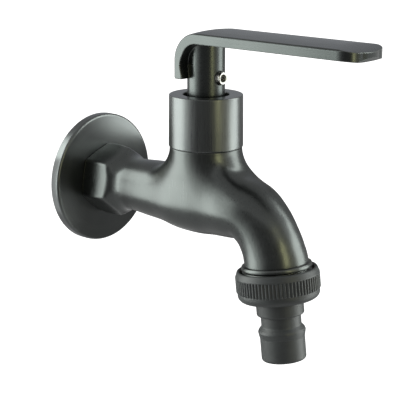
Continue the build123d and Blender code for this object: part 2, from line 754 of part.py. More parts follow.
def union_nut():
    """The black nut: a plain rim, a band of ribs, a rounded skirt and a lip inside."""
    outside = turned(
        OUTLET,
        [
            (0, NUT_TOP),
            (NUT_TOP_RADIUS - 0.5, NUT_TOP),
            (NUT_TOP_RADIUS, NUT_TOP + 0.4),
            (NUT_RADIUS - 0.15, -0.6),
            (NUT_RADIUS, -0.2),
            (NUT_RADIUS, 0),
            (NUT_RADIUS - RIB_HEIGHT, 0),
            (NUT_RADIUS - RIB_HEIGHT, RIB_LENGTH),
            (NUT_SKIRT_RADIUS, RIB_LENGTH),
            (NUT_SKIRT_RADIUS, NUT_BOTTOM - 2.2),
            (NUT_SKIRT_RADIUS - 0.35, NUT_BOTTOM - 1.2),
            (NUT_SKIRT_RADIUS - 1.0, NUT_BOTTOM - 0.45),
            (NUT_SKIRT_RADIUS - 2.0, NUT_BOTTOM),
            (0, NUT_BOTTOM),
        ],
    )
    outside += OUTLET * ribs()
    inside = turned(
        OUTLET,
        [
            (0, NUT_TOP),
            (NUT_MOUTH_RADIUS, NUT_TOP),
            (NUT_BORE_RADIUS, NUT_TOP + 0.9),
            (NUT_BORE_RADIUS, NUT_LIP_TOP),
            (NUT_LIP_RADIUS, NUT_LIP_TOP),
            (NUT_LIP_RADIUS, NUT_BOTTOM),
            (0, NUT_BOTTOM),
        ],
    )
    return outside - inside


def ribs():
    """A star whose points are the nut's grip ribs, as long as the band."""
    root = NUT_RADIUS - RIB_HEIGHT - 0.1
    tip = NUT_RADIUS - 0.05
    corners = []
    for rib in range(RIB_COUNT):
        for share, radius in ((-0.34, root), (-0.2, tip), (0.2, tip), (0.34, root)):
            angle = (rib + share) * 2 * math.pi / RIB_COUNT
            corners.append((radius * math.cos(angle), radius * math.sin(angle)))
    return extrude(make_face(Polyline(*corners, close=True)), RIB_LENGTH)


def nipple_washer():
    return pipe(
        OUTLET, WASHER_OUTER_RADIUS, WASHER_INNER_RADIUS, THREAD_END, THREAD_END + WASHER_THICKNESS
    )


def hose_nipple():
    """The plug-on nipple: a flange inside the nut, a collar, a neck, a ridge and a barrel."""
    return turned(
        OUTLET,
        [
            (NIPPLE_BORE_RADIUS, THREAD_END + WASHER_THICKNESS),
            (NIPPLE_FLANGE_RADIUS, THREAD_END + WASHER_THICKNESS),
            (NIPPLE_FLANGE_RADIUS, NIPPLE_FLANGE_BOTTOM),
            (NIPPLE_COLLAR_RADIUS, NIPPLE_FLANGE_BOTTOM),
            (NIPPLE_COLLAR_RADIUS, NIPPLE_COLLAR_BOTTOM - 0.7),
            (NIPPLE_COLLAR_RADIUS - 0.25, NIPPLE_COLLAR_BOTTOM - 0.2),
            (NIPPLE_COLLAR_RADIUS - 0.8, NIPPLE_COLLAR_BOTTOM),
            (NIPPLE_NECK_RADIUS, NIPPLE_COLLAR_BOTTOM),
            (NIPPLE_NECK_RADIUS, NIPPLE_NECK_BOTTOM),
            (NIPPLE_RIDGE_RADIUS - 0.35, NIPPLE_RIDGE_Z - 0.9),
            (NIPPLE_RIDGE_RADIUS, NIPPLE_RIDGE_Z),
            (NIPPLE_BARREL_RADIUS + 0.12, NIPPLE_STEP_Z),
            (NIPPLE_BARREL_RADIUS, NIPPLE_STEP_Z + 0.15),
            (NIPPLE_BARREL_RADIUS, NIPPLE_BOTTOM - 1.5),
            (NIPPLE_BARREL_RADIUS - 0.45, NIPPLE_BOTTOM - 0.45),
            (NIPPLE_BARREL_RADIUS - 1.5, NIPPLE_BOTTOM),
            (NIPPLE_BORE_RADIUS, NIPPLE_BOTTOM),
        ],
    )


PARTS = {
    "body_casting": body_casting,
    "wall_flange": wall_flange,
    "flange_gasket": flange_gasket,
    "bonnet_sleeve": bonnet_sleeve,
    "sleeve_washer": sleeve_washer,
    "headwork_housing": headwork_housing,
    "headwork_gasket": headwork_gasket,
    "guide_ring": guide_ring,
    "fixed_disc": fixed_disc,
    "seat_seal": seat_seal,
    "lever_handle": lever_handle,
    "spline_bush": spline_bush,
    "grub_screw": grub_screw,
    "spindle": spindle,
    "spindle_circlip": spindle_circlip,
    "slide_washer": slide_washer,
    "rotating_disc": rotating_disc,
    "hose_nipple": hose_nipple,
    "nipple_washer": nipple_washer,
    "union_nut": union_nut,
}


def main():
    os.makedirs("parts", exist_ok=True)
    for name, build in PARTS.items():
        export_step(build(), f"parts/{name}.step")
    for name, height in O_RING_HEIGHTS.items():
        export_step(o_ring(height), f"parts/{name}.step")


main()
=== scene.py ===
"""Looks of a quarter-turn hose bibb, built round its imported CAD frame.

Every length is in metres in the frame's own axes: +X runs out of the wall, +Z is up. Sizes
that a maker would read off a drawing are written in millimetres and multiplied by MM.
"""

import logging
import math
from collections.abc import Callable
from dataclasses import dataclass
from enum import Enum

import bmesh
import bpy
import numpy as np
from bpy.types import ID, Material, Node, NodeSocket, NodeTree, Object, World
from mathutils import Matrix, Vector


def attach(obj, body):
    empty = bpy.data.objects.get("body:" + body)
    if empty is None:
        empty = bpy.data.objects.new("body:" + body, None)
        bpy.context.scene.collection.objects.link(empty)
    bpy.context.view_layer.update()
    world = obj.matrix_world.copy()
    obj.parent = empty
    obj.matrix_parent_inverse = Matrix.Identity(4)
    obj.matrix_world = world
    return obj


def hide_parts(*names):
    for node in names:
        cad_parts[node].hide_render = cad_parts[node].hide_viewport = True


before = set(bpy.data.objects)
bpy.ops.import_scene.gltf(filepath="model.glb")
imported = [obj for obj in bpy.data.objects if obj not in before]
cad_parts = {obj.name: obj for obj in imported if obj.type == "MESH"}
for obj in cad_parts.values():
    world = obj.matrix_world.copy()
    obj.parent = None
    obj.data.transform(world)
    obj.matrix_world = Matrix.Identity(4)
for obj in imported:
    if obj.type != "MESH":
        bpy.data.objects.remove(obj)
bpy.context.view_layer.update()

LOG = logging.getLogger("hose_bibb")
MM = 0.001
FULL_TURN = 2 * math.pi
SAME_POINT = 0.0001 * MM
ROWS_AT_ONCE = 20000
NO_ZERO = 1e-9
NEARLY_HALF = 0.48

INLET_AXIS = Matrix(((0, 0, 1, 0), (1, 0, 0, 0), (0, 1, 0, 0), (0, 0, 0, 1)))
SPINDLE_X = 58.35 * MM
SPINDLE_AXIS = Matrix.Translation((SPINDLE_X, 0, 0))
OUTLET_TILT = math.radians(7.0)
OUTLET_ORIGIN = Vector((93.39 * MM, 0, -22.52 * MM))
OUTLET_AXIS = Matrix.Translation(OUTLET_ORIGIN) @ Matrix(
    (
        (math.cos(OUTLET_TILT), 0, math.sin(OUTLET_TILT), 0),
        (0, -1, 0, 0),
        (math.sin(OUTLET_TILT), 0, -math.cos(OUTLET_TILT), 0),
        (0, 0, 0, 1),
    )
)
GRUB_AXIS = Matrix.Translation((SPINDLE_X, 0, 47.0 * MM)) @ INLET_AXIS

Colour = tuple[float, float, float, float]
Point2 = tuple[float, float]
Point3 = tuple[float, float, float]
Values = np.ndarray | float


def linear(hex_colour: str) -> Colour:
    """Turns an sRGB colour into the linear one that shaders take.

    Args:
        hex_colour: the colour as "#rrggbb".

    Returns:
        Linear red, green, blue and an alpha of 1.
    """
    shares = [int(hex_colour[i : i + 2], 16) / 255 for i in (1, 3, 5)]
    r, g, b = [c / 12.92 if c <= 0.04045 else ((c + 0.055) / 1.055) ** 2.4 for c in shares]
    return r, g, b, 1.0


def add_node(
    tree: NodeTree, kind: str, settings: dict | None = None, links: dict | None = None
) -> Node:
    """Adds a node to a tree, sets it up and links its inputs.

    Args:
        tree: the tree that takes the node.
        kind: the node's type name.
        settings: properties by name, and input values by name or number.
        links: output sockets, by the name or number of the input that each one feeds.

    Returns:
        The new node.
    """
    node = tree.nodes.new(kind)
    for key, value in (settings or {}).items():
        if isinstance(key, str) and hasattr(node, key):
            setattr(node, key, value)
        else:
            node.inputs[key].default_value = value
    for key, socket in (links or {}).items():
        tree.links.new(socket, node.inputs[key])
    return node


def blank_tree(owner: Material | World) -> NodeTree:
    """Empties the nodes of a new material or world.

    Args:
        owner: the material or world.

    Returns:
        Its node tree.
    """
    owner.use_nodes = True
    owner.node_tree.nodes.clear()
    return owner.node_tree


def add_object(name: str, data: ID) -> Object:
    """Puts a mesh, a light or a camera in the scene.

    Args:
        name: the object's name.
        data: what it shows.

    Returns:
        The object.
    """
    made = bpy.data.objects.new(name, data)
    bpy.context.scene.collection.objects.link(made)
    return made


# ---------------------------------------------------------------- meshes


def rounded(corners: list[Point3], steps: int = 5) -> list[Point2]:
    """Rounds the corners of a closed outline.

    Args:
        corners: (radius, height, fillet) of each corner, in millimetres.
        steps: how many straight bits stand for each fillet.

    Returns:
        The outline's points, in millimetres.
    """
    points: list[Point2] = []
    count = len(corners)
    for i, (x, y, fillet) in enumerate(corners):
        here = Vector((x, y))
        before = Vector(corners[i - 1][:2]) - here
        after = Vector(corners[(i + 1) % count][:2]) - here
        if fillet <= 0:
            points.append((x, y))
            continue
        half = before.angle(after) / 2
        reach = min(fillet / math.tan(half), NEARLY_HALF * min(before.length, after.length))
        start, end = here + before.normalized() * reach, here + after.normalized() * reach
        for step in range(steps + 1):
            t = step / steps
            bend = start * (1 - t) ** 2 + here * (2 * t * (1 - t)) + end * t**2
            points.append((bend.x, bend.y))
    return points


def lathe(
    name: str,
    outline: list[Point2],
    axis: Matrix,
    segments: int,
    form: Callable[[float, float, float], float] | None = None,
) -> Object:
    """Spins a closed outline about an axis into a closed, smooth-shaded mesh.

    Args:
        name: the piece's name.
        outline: (radius, height) points in millimetres, round the whole section.
        axis: the matrix that takes local Z to the axis.
        segments: how many steps make the full turn.
        form: gives the radius at (angle, radius, height) where the piece isn't plainly round.

    Returns:
        The new object, in place in the row frame.
    """
    mesh = bpy.data.meshes.new(name)
    shape = bmesh.new()
    rings = []
    for step in range(segments):
        angle = FULL_TURN * step / segments
        ring = []
        for radius, height in outline:
            r = form(angle, radius, height) if form else radius
            local = Vector((r * math.cos(angle), r * math.sin(angle), height)) * MM
            ring.append(shape.verts.new(axis @ local))
        rings.append(ring)
    count = len(outline)
    for step, ring in enumerate(rings):
        following = rings[(step + 1) % segments]
        for i in range(count):
            j = (i + 1) % count
            shape.faces.new((ring[i], following[i], following[j], ring[j]))
    bmesh.ops.remove_doubles(shape, verts=shape.verts, dist=SAME_POINT)
    bmesh.ops.dissolve_degenerate(shape, edges=shape.edges, dist=SAME_POINT)
    bmesh.ops.recalc_face_normals(shape, faces=shape.faces)
    for face in shape.faces:
        face.smooth = True
    shape.to_mesh(mesh)
    shape.free()
    piece = add_object(name, mesh)
    even = piece.modifiers.new("even_normals", "WEIGHTED_NORMAL")
    even.weight = 100
    return piece


def ease(
    t: np.ndarray, start: Values, end: Values, leave: Values = 0.0, arrive: Values = 0.0
) -> np.ndarray:
    """Runs smoothly from one value to another.

    Args:
        t: how far along, from 0 to 1.
        start: the value at 0.
        end: the value at 1.
        leave: the slope at 0.
        arrive: the slope at 1.

    Returns:
        The values at t.
    """
    values = (2 * t**3 - 3 * t**2 + 1) * start + (3 * t**2 - 2 * t**3) * end
    return values + (t**3 - 2 * t**2 + t) * leave + (t**3 - t**2) * arrive


def level_surface(
    gap: Callable[[np.ndarray], np.ndarray],
    low: Point3,
    high: Point3,
    step: float,
    probe: float = 0.1,
    pulls: int = 4,
) -> tuple[np.ndarray, np.ndarray]:
    """Finds the surface where a gap is zero, as an even net of quads, open at the box's sides.

    Args:
        gap: gives the distance outside the shape for rows of x, y and z.
        low: the box's lowest corner.
        high: its highest corner.
        step: the net's pitch.
        probe: how far to each side of a point the gap's slope is read.
        pulls: how many times the points are drawn onto the surface.

    Returns:
        The points, and the quads that join them.
    """
    axes = [np.arange(a, b + step / 2, step) for a, b in zip(low, high)]
    grid = np.stack(np.meshgrid(*axes, indexing="ij"), -1)
    values = gap(grid.reshape(-1, 3)).reshape(grid.shape[:3])
    cells = tuple(n - 1 for n in values.shape)
    total, count = np.zeros(cells + (3,)), np.zeros(cells)
    crossed = []
    for axis in range(3):
        first = np.moveaxis(values, axis, 0)[:-1]
        second = np.moveaxis(values, axis, 0)[1:]
        cross = np.moveaxis((first < 0) != (second < 0), 0, axis)
        share = np.moveaxis(first / np.where(first == second, 1, first - second), 0, axis)
        crossed.append(cross)
        others = [k for k in range(3) if k != axis]
        for p in (0, 1):
            for q in (0, 1):
                pick = [slice(None)] * 3
                pick[others[0]] = slice(p, p + cells[others[0]])
                pick[others[1]] = slice(q, q + cells[others[1]])
                offset = np.zeros(cells + (3,))
                offset[..., axis] = share[tuple(pick)]
                offset[..., others[0]], offset[..., others[1]] = p, q
                total += offset * cross[tuple(pick)][..., None]
                count += cross[tuple(pick)]
    used = count > 0
    number = np.full(cells, -1)
    number[used] = np.arange(used.sum())
    points = np.array(low) + (np.argwhere(used) + total[used] / count[used][:, None]) * step
    quads = []
    for axis in range(3):
        one, two = [(1, 2), (2, 0), (0, 1)][axis]
        spots = np.argwhere(crossed[axis])
        spots = spots[(spots[:, one] > 0) & (spots[:, two] > 0)]
        spots = spots[(spots[:, one] < cells[one]) & (spots[:, two] < cells[two])]
        u, v = np.eye(3, dtype=int)[one], np.eye(3, dtype=int)[two]
        ring = [number[tuple((spots - d).T)] for d in (u + v, v, u * 0, u)]
        faces = np.column_stack(ring)
        inward = values[tuple(spots.T)] < 0
        quads.append(np.where(inward[:, None], faces, faces[:, ::-1]))
    sides = np.eye(3) * probe
    for _ in range(pulls):
        here = gap(points)
        slope = np.stack([gap(points + d) - gap(points - d) for d in sides], 1) / (2 * probe)
        points = points - slope * (here / (slope**2).sum(1))[:, None]
    return points, np.concatenate(quads)


# ---------------------------------------------------------------- finishes


class Lay(Enum):
    """Which way the fine scratches of a worked surface run."""

    ALONG_X = "along_x"
    ALONG_Z = "along_z"
    ROUND_INLET = "round_inlet"
    ROUND_SPINDLE = "round_spindle"
    NONE = "none"


@dataclass(frozen=True)
class Finish:
    """A real material and the process that finished it.

    Lengths are the real ones, in metres. Real brushing is 0.02 to 0.1 mm wide, which is under
    a pixel, so marks are drawn as coarse as mark_width, where they show as streaks.
    """

    name: str
    ground: str
    patch: str
    worn: str
    roughness: tuple[float, float]
    mark_depth: float
    metallic: float = 1.0
    ior: float | None = None
    lay: Lay = Lay.NONE
    mark_width: float = 0.45 * MM
    mark_length: float = 14.0 * MM
    mark_share: float = 0.6
    patch_size: float = 12.0 * MM
    edge_width: float = 0.45 * MM

    def marks(self, tree: NodeTree, place: NodeSocket) -> NodeSocket:
        """Draws the marks that the process leaves, along the lay.

        Args:
            tree: the material's nodes.
            place: the piece's own coordinates, which move with it.

        Returns:
            A value round 0.5 that changes quickly across the lay.
        """
        across, along = 1 / self.mark_width, 1 / self.mark_length
        if self.lay in (Lay.ROUND_INLET, Lay.ROUND_SPINDLE):
            about_x = self.lay is Lay.ROUND_INLET
            centre = (0, 0, 0) if about_x else (SPINDLE_X, 0, 0)
            square = (0, 1, 1) if about_x else (1, 1, 0)
            settings = {"operation": "MULTIPLY", 1: square}
            flat = add_node(tree, "ShaderNodeVectorMath", settings, {0: place}).outputs[0]
            settings = {"operation": "DISTANCE", 1: centre}
            radius = add_node(tree, "ShaderNodeVectorMath", settings, {0: flat}).outputs["Value"]
            parts = add_node(tree, "ShaderNodeSeparateXYZ", links={0: place})
            links = {0: radius, 1: parts.outputs["X" if about_x else "Z"]}
            place = add_node(tree, "ShaderNodeCombineXYZ", links=links).outputs[0]
        scale = {
            Lay.ALONG_X: (along, across, across),
            Lay.ALONG_Z: (across, across, along),
        }.get(self.lay, (across, across, across))
        stretched = add_node(tree, "ShaderNodeMapping", {"Scale": scale}, {"Vector": place})
        settings = {"Scale": 1.0, "Detail": 3.0, "Roughness": 0.62}
        links = {"Vector": stretched.outputs[0]}
        return add_node(tree, "ShaderNodeTexNoise", settings, links).outputs["Fac"]

    def colour(
        self, tree: NodeTree, patches: NodeSocket, marks: NodeSocket, wear: NodeSocket
    ) -> NodeSocket:
        """Mixes the ground colour with its patches, its marks and the wear on its edges.

        Args:
            tree: the material's nodes.
            patches: a pattern of soft patches, round 0.5.
            marks: the pattern of marks, round 0.5.
            wear: 1 on outer edges.

        Returns:
            The surface's colour.
        """
        spread = {"From Min": 0.32, "From Max": 0.68, "To Max": 0.6}
        uneven = add_node(tree, "ShaderNodeMapRange", spread, {"Value": patches})
        spread = {"From Min": 0.35, "From Max": 0.7, "To Max": self.mark_share}
        marked = add_node(tree, "ShaderNodeMapRange", spread, {"Value": marks})
        under: dict[int, NodeSocket] = {}
        shares = (uneven.outputs[0], marked.outputs[0], wear)
        for share, tint in zip(shares, (self.patch, self.patch, self.worn)):
            settings = {"data_type": "RGBA", 6: linear(self.ground), 7: linear(tint)}
            under = {6: add_node(tree, "ShaderNodeMix", settings, {0: share} | under).outputs[2]}
        return under[6]

    def material(self) -> Material:
        """Makes the material.

        Returns:
            A shader whose colour, gloss and normal all follow the marks and the wear.
        """
        made = bpy.data.materials.new(self.name)
        tree = blank_tree(made)
        place = add_node(tree, "ShaderNodeTexCoord").outputs["Object"]
        marks = self.marks(tree, place)
        settings = {"Scale": 1 / self.patch_size, "Detail": 2.0, "Roughness": 0.5}
        patches = add_node(tree, "ShaderNodeTexNoise", settings, {"Vector": place})
        # A bevelled normal differs from the face's own only near an edge.
        soft = add_node(tree, "ShaderNodeBevel", {"samples": 6, "Radius": self.edge_width})
        face = add_node(tree, "ShaderNodeNewGeometry")
        links = {0: soft.outputs[0], 1: face.outputs["Normal"]}
        turn = add_node(tree, "ShaderNodeVectorMath", {"operation": "DOT_PRODUCT"}, links)
        spread = {"From Min": 0.995, "From Max": 0.86, "To Min": 0.0, "To Max": 1.0}
        wear = add_node(tree, "ShaderNodeMapRange", spread, {"Value": turn.outputs["Value"]})
        low, high = self.roughness
        spread = {"From Min": 0.3, "From Max": 0.7, "To Min": low, "To Max": high}
        gloss = add_node(tree, "ShaderNodeMapRange", spread, {"Value": marks})
        cut = add_node(
            tree,
            "ShaderNodeBump",
            {"Strength": 1.0, "Distance": self.mark_depth},
            {"Height": marks, "Normal": soft.outputs[0]},
        )
        shader = add_node(
            tree,
            "ShaderNodeBsdfPrincipled",
            {"Metallic": self.metallic} | ({"IOR": self.ior} if self.ior else {}),
            {
                "Base Color": self.colour(tree, patches.outputs["Fac"], marks, wear.outputs[0]),
                "Roughness": gloss.outputs[0],
                "Normal": cut.outputs[0],
            },
        )
        add_node(tree, "ShaderNodeOutputMaterial", links={"Surface": shader.outputs[0]})
        return made


@dataclass(frozen=True)
class BrushedGunmetal(Finish):
    """Brass, belt-brushed and then PVD-coated in gunmetal grey.

    The coat is a metal film a few microns thick, so it mirrors as metal does, darkly, and the
    brushing under it smears each reflection across the scratches. Rubbed edges are paler.
    """

    ground: str = "#646767"
    patch: str = "#727574"
    worn: str = "#8a8c89"
    roughness: tuple[float, float] = (0.25, 0.36)
    mark_depth: float = 0.012 * MM
    patch_size: float = 18.0 * MM


@dataclass(frozen=True)
class SatinGunmetal(Finish):
    """Zinc die casting, linished and coated in the same gunmetal film.

    Zinc takes a finer, flatter polish than brass, so the plate looks satin, with only a trace
    of scratches along its length.
    """

    ground: str = "#4f5352"
    patch: str = "#595c5b"
    worn: str = "#6f7270"
    roughness: tuple[float, float] = (0.25, 0.33)
    mark_depth: float = 0.002 * MM
    mark_share: float = 0.35
    patch_size: float = 25.0 * MM
    edge_width: float = 0.6 * MM


@dataclass(frozen=True)
class TurnedBrass(Finish):
    """Free-cutting brass off the lathe, bare: yellow metal, dulled in patches, in fine rings."""

    ground: str = "#c9a663"
    patch: str = "#a8844a"
    worn: str = "#dcc08a"
    roughness: tuple[float, float] = (0.22, 0.36)
    mark_depth: float = 0.01 * MM
    mark_width: float = 0.3 * MM
    patch_size: float = 6.0 * MM


@dataclass(frozen=True)
class BrightStainless(Finish):
    """A2 stainless steel, thread-rolled and passivated: a clean pale metal, a little uneven."""

    ground: str = "#b5b4b0"
    patch: str = "#94938f"
    worn: str = "#d4d3ce"
    roughness: tuple[float, float] = (0.16, 0.3)
    mark_depth: float = 0.006 * MM
    mark_width: float = 0.4 * MM
    patch_size: float = 1.5 * MM
    edge_width: float = 0.2 * MM


@dataclass(frozen=True)
class MouldedNylon(Finish):
    """Glass-filled nylon out of a spark-eroded mould.

    The mould's fine pits give it a low sheen, glass fibres near the skin make faint patches,
    and its edges are slightly polished from handling.
    """

    ground: str = "#303333"
    patch: str = "#3b3f3f"
    worn: str = "#4b4f4f"
    roughness: tuple[float, float] = (0.4, 0.54)
    mark_depth: float = 0.006 * MM
    metallic: float = 0.0
    ior: float | None = 1.53
    mark_width: float = 0.22 * MM
    mark_share: float = 0.3
    patch_size: float = 5.0 * MM


@dataclass(frozen=True)
class MouldedRubber(Finish):
    """EPDM rubber, pressed in a mould: nearly black, dull, with a dusty bloom in patches."""

    ground: str = "#191a1a"
    patch: str = "#2b2b2a"
    worn: str = "#222222"
    roughness: tuple[float, float] = (0.62, 0.8)
    mark_depth: float = 0.012 * MM
    metallic: float = 0.0
    ior: float | None = 1.52
    mark_width: float = 0.3 * MM
    patch_size: float = 3.0 * MM


@dataclass(frozen=True)
class LappedAlumina(Finish):
    """Alumina, sintered and lapped: a creamy white ceramic, nearly a mirror where it seals."""

    ground: str = "#e9e6dd"
    patch: str = "#d9d4c8"
    worn: str = "#f0eee8"
    roughness: tuple[float, float] = (0.1, 0.2)
    mark_depth: float = 0.002 * MM
    metallic: float = 0.0
    ior: float | None = 1.77
    mark_width: float = 0.2 * MM
    patch_size: float = 0.8 * MM
    edge_width: float = 0.1 * MM


class Finishes:
    """The tap's materials, each made once."""

    def __init__(self) -> None:
        """Makes every material that the pieces take."""
        self.flange = BrushedGunmetal(
            "brushed_gunmetal_flange",
            roughness=(0.28, 0.34),
            mark_depth=0.004 * MM,
            lay=Lay.ROUND_INLET,
            mark_width=0.6 * MM,
            mark_share=0.25,
        ).material()
        # The body takes the bonnet's coat with a darker ground and patch. This darkness is painted
        # shade, which tones down the light that its belly reflects.
        self.body = BrushedGunmetal(
            "brushed_gunmetal_body_painted_shade",
            ground="#545756",
            patch="#5f6261",
            roughness=(0.27, 0.34),
            mark_depth=0.007 * MM,
            lay=Lay.ALONG_Z,
        ).material()
        self.bonnet = BrushedGunmetal(
            "brushed_gunmetal_bonnet", lay=Lay.ALONG_Z, mark_length=20 * MM
        ).material()
        self.lever = SatinGunmetal("satin_gunmetal_lever", lay=Lay.ALONG_X).material()
        self.brass = TurnedBrass("turned_brass", lay=Lay.ROUND_SPINDLE).material()
        self.stainless = BrightStainless("bright_stainless").material()
        self.black_nylon = MouldedNylon("moulded_black_nylon").material()
        self.white_nylon = MouldedNylon(
            "moulded_white_nylon", ground="#dfddd5", patch="#d2cfc6", worn="#e8e6df"
        ).material()
        self.rubber = MouldedRubber("moulded_rubber").material()
        self.ceramic = LappedAlumina("lapped_alumina").material()


def dress(piece: Object, finish: Material) -> Object:
    """Gives a whole piece one finish.

    Args:
        piece: the mesh object.
        finish: the material for all its faces.

    Returns:
        The piece.
    """
    if not piece.data.materials:
        piece.data.materials.append(finish)
    for i in range(len(piece.data.materials)):
        piece.data.materials[i] = finish
    return piece


def fit(piece: Object, body: str, node: str, finish: Material) -> None:
    """Puts a piece in the place of a CAD node.

    Args:
        piece: the new piece.
        body: the CAD body that it moves with.
        node: the CAD node that it stands for.
        finish: its material.
    """
    dress(piece, finish)
    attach(piece, body)
    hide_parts(node)


# ---------------------------------------------------------------- the tap's sub-assemblies


@dataclass
class WallFlange:
    """The turned cup against the wall, with its rubber ring. Sizes in millimetres."""

    radius: float = 25.9
    depth: float = 3.9
    wall: float = 1.3
    hole_radius: float = 10.7
    rim_round: float = 1.1
    segments: int = 192

    def build(self, finishes: Finishes) -> list[Object]:
        """Builds the cup and dresses it and its gasket.

        Args:
            finishes: the tap's materials.

        Returns:
            The flange's pieces.
        """
        inside = self.depth - self.wall
        outline = rounded(
            [
                (self.radius, 0, 0.15),
                (self.radius, self.depth, self.rim_round),
                (self.hole_radius, self.depth, 0.2),
                (self.hole_radius, inside, 0.2),
                (self.radius - self.wall, inside, 0.4),
                (self.radius - self.wall, 0, 0.15),
            ]
        )
        cup = lathe("flange_cup", outline, INLET_AXIS, self.segments)
        fit(cup, "tap", "wall_flange", finishes.flange)
        return [cup, dress(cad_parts["flange_gasket"], finishes.rubber)]


@dataclass
class BodyCasting:
    """The cast body, from the inlet's thread to the outlet's collar. Sizes in millimetres.

    The casting is ground by hand before it is brushed, so its neck runs into its belly
    without a line. The skin is that ground outside, laid closely over the CAD's casting.
    """

    # (x, z, heading below the horizontal in degrees, radius, width over height) of sections
    belly: tuple[tuple[float, ...], ...] = (
        (3.0, 0.0, 0.0, 10.3, 1.0),
        (19.5, 0.0, 0.0, 10.3, 1.0),
        (23.6, 0.0, 0.0, 10.36, 1.0),
        (27.2, 0.0, 0.0, 10.62, 1.0),
        (31.0, 0.0, 0.0, 10.93, 1.0),
        (40.0, -0.05, 0.0, 11.5, 1.0),
        (49.5, -0.25, 0.0, 12.7, 1.0),
        (58.4, -0.25, 0.0, 12.85, 1.01),
        (67.0, -0.1, 0.0, 12.2, 1.05),
        (74.5, 0.0, 2.0, 11.95, 1.1),
        (80.4, -0.9, 20.0, 11.3, 1.13),
        (85.2, -4.1, 42.0, 10.95, 1.09),
        (89.0, -8.8, 60.0, 10.97, 1.05),
        (91.6, -14.0, 72.0, 11.37, 1.02),
        (92.84, -18.05, 83.0, 11.7, 1.01),
        (93.22, -21.13, 83.0, 11.75, 1.0),
    )
    # (z, half width along X, half width along Y) of oval sections
    neck: tuple[Point3, ...] = (
        (-12.0, 19.0, 1.0),
        (-8.0, 19.2, 2.0),
        (-4.0, 19.3, 5.2),
        (0.0, 19.4, 7.4),
        (3.0, 19.4, 9.1),
        (8.0, 18.9, 11.8),
        (11.6, 17.6, 13.1),
        (14.0, 16.1, 13.48),
        (16.5, 14.8, 13.6),
        (18.8, 13.87, 13.63),
        (20.8, 13.62, 13.62),
        (22.8, 13.62, 13.62),
    )
    neck_foot: float = -4.0
    lift: float = 0.04
    # The hexagon's faces bulge along the inlet and roll over into a cone at their ends.
    hex_apothem: float = 12.45
    hex_middle: float = 9.0
    hex_bulge: float = 0.0125
    hex_turn: float = -9.0
    hex_edge: float = 0.8
    hex_end_x: float = 15.9
    hex_end_radius: float = 13.6
    hex_end_slope: float = 2.0
    hex_end_edge: float = 1.4
    hex_blend: float = 4.2
    # The neck's fillet is small in line with the inlet, and grows over a distance to its sides.
    blend_in_line: float = 2.8
    blend_at_sides: float = 8.0
    blend_distance: float = 10.0
    # The skin starts at the flange, and ends inside the outlet's collar and the bonnet.
    skin_from: Point3 = (3.6, -16.2, -20.3)
    skin_to: Point3 = (105.6, 16.2, 21.05)
    skin_step: float = 0.6
    skin_depth: float = 1.0
    steps_per_section: int = 30

    def curve(self, at: np.ndarray, knots: np.ndarray, values: np.ndarray) -> np.ndarray:
        """Runs a smooth curve through knots.

        Args:
            at: where to read it.
            knots: rising positions.
            values: the curve's value at each knot.

        Returns:
            The curve's values.
        """
        slopes = np.gradient(values, knots)
        i = np.clip(np.searchsorted(knots, at) - 1, 0, len(knots) - 2)
        span = knots[i + 1] - knots[i]
        t = np.clip((at - knots[i]) / span, 0, 1)
        return ease(t, values[i], values[i + 1], slopes[i] * span, slopes[i + 1] * span)

    def spine(self) -> np.ndarray:
        """Runs a line of close points along the belly.

        Returns:
            Rows of x, z, radius, width over height, heading x and z, and taper.
        """
        rows = np.array(self.belly)
        heading = np.radians(rows[:, 2])
        ways = np.stack([np.cos(heading), -np.sin(heading)], 1)
        spans = np.linalg.norm(np.diff(rows[:, :2], axis=0), axis=1)
        along = np.concatenate([[0.0], np.cumsum(spans)])
        points = []
        for i, span in enumerate(spans):
            t = np.linspace(0, 1, self.steps_per_section, endpoint=False)
            way = ease(t[:, None], rows[i, :2], rows[i + 1, :2], ways[i] * span, ways[i + 1] * span)
            sizes = [self.curve(along[i] + t * span, along, rows[:, k]) for k in (3, 4)]
            points.append(np.column_stack([way, *sizes]))
        line = np.concatenate(points)
        line[:, 2] += self.lift
        steps = np.gradient(line, axis=0)
        length = np.linalg.norm(steps[:, :2], axis=1)
        return np.column_stack([line, (steps / length[:, None])[:, :3]])

    def merge(self, first: np.ndarray, second: np.ndarray, reach: float) -> np.ndarray:
        """Joins two shapes' gaps and fills the crease between them.

        Args:
            first: one shape's gaps.
            second: the other's.
            reach: how far from the crease the filling starts, in millimetres.

        Returns:
            The joined shape's gaps.
        """
        near = np.maximum(reach - np.abs(first - second), 0) / reach
        return np.minimum(first, second) - near**2 * reach / 4

    def hexagon(self, points: np.ndarray) -> np.ndarray:
        """Measures how far points are outside the polished hexagon.

        Args:
            points: x, y, z rows.

        Returns:
            The gaps, negative inside.
        """
        x, y, z = points.T
        apothem = self.hex_apothem - self.hex_bulge * (x - self.hex_middle) ** 2
        radius = self.hex_end_radius - (x - self.hex_end_x) * self.hex_end_slope
        inside = -(np.hypot(y, z) - radius) / math.hypot(1, self.hex_end_slope)
        reach = self.hex_end_edge
        for side in range(6):
            angle = math.radians(self.hex_turn + 60 * side)
            flat = y * math.cos(angle) + z * math.sin(angle) - apothem
            inside = self.merge(inside, -flat, reach)
            reach = self.hex_edge
        return -inside

    def gap(self, points: np.ndarray) -> np.ndarray:
        """Measures how far points are outside the skin.

        Args:
            points: x, y, z rows.

        Returns:
            The gaps, negative inside.
        """
        line = self.spine()
        nearest = []
        for part in np.array_split(points, max(1, len(points) // ROWS_AT_ONCE)):
            away_x, away_z = part[:, None, 0] - line[:, 0], part[:, None, 2] - line[:, 1]
            nearest.append((away_x**2 + away_z**2).argmin(1))
        x, z, radius, width, way_x, way_z, taper = line[np.concatenate(nearest)].T
        dx, dz = points[:, 0] - x, points[:, 2] - z
        past = dx * way_x + dz * way_z
        across = np.maximum(dx**2 + dz**2 - past**2, 0) + (points[:, 1] / width) ** 2
        belly = np.sqrt(across) - (radius + past * taper)

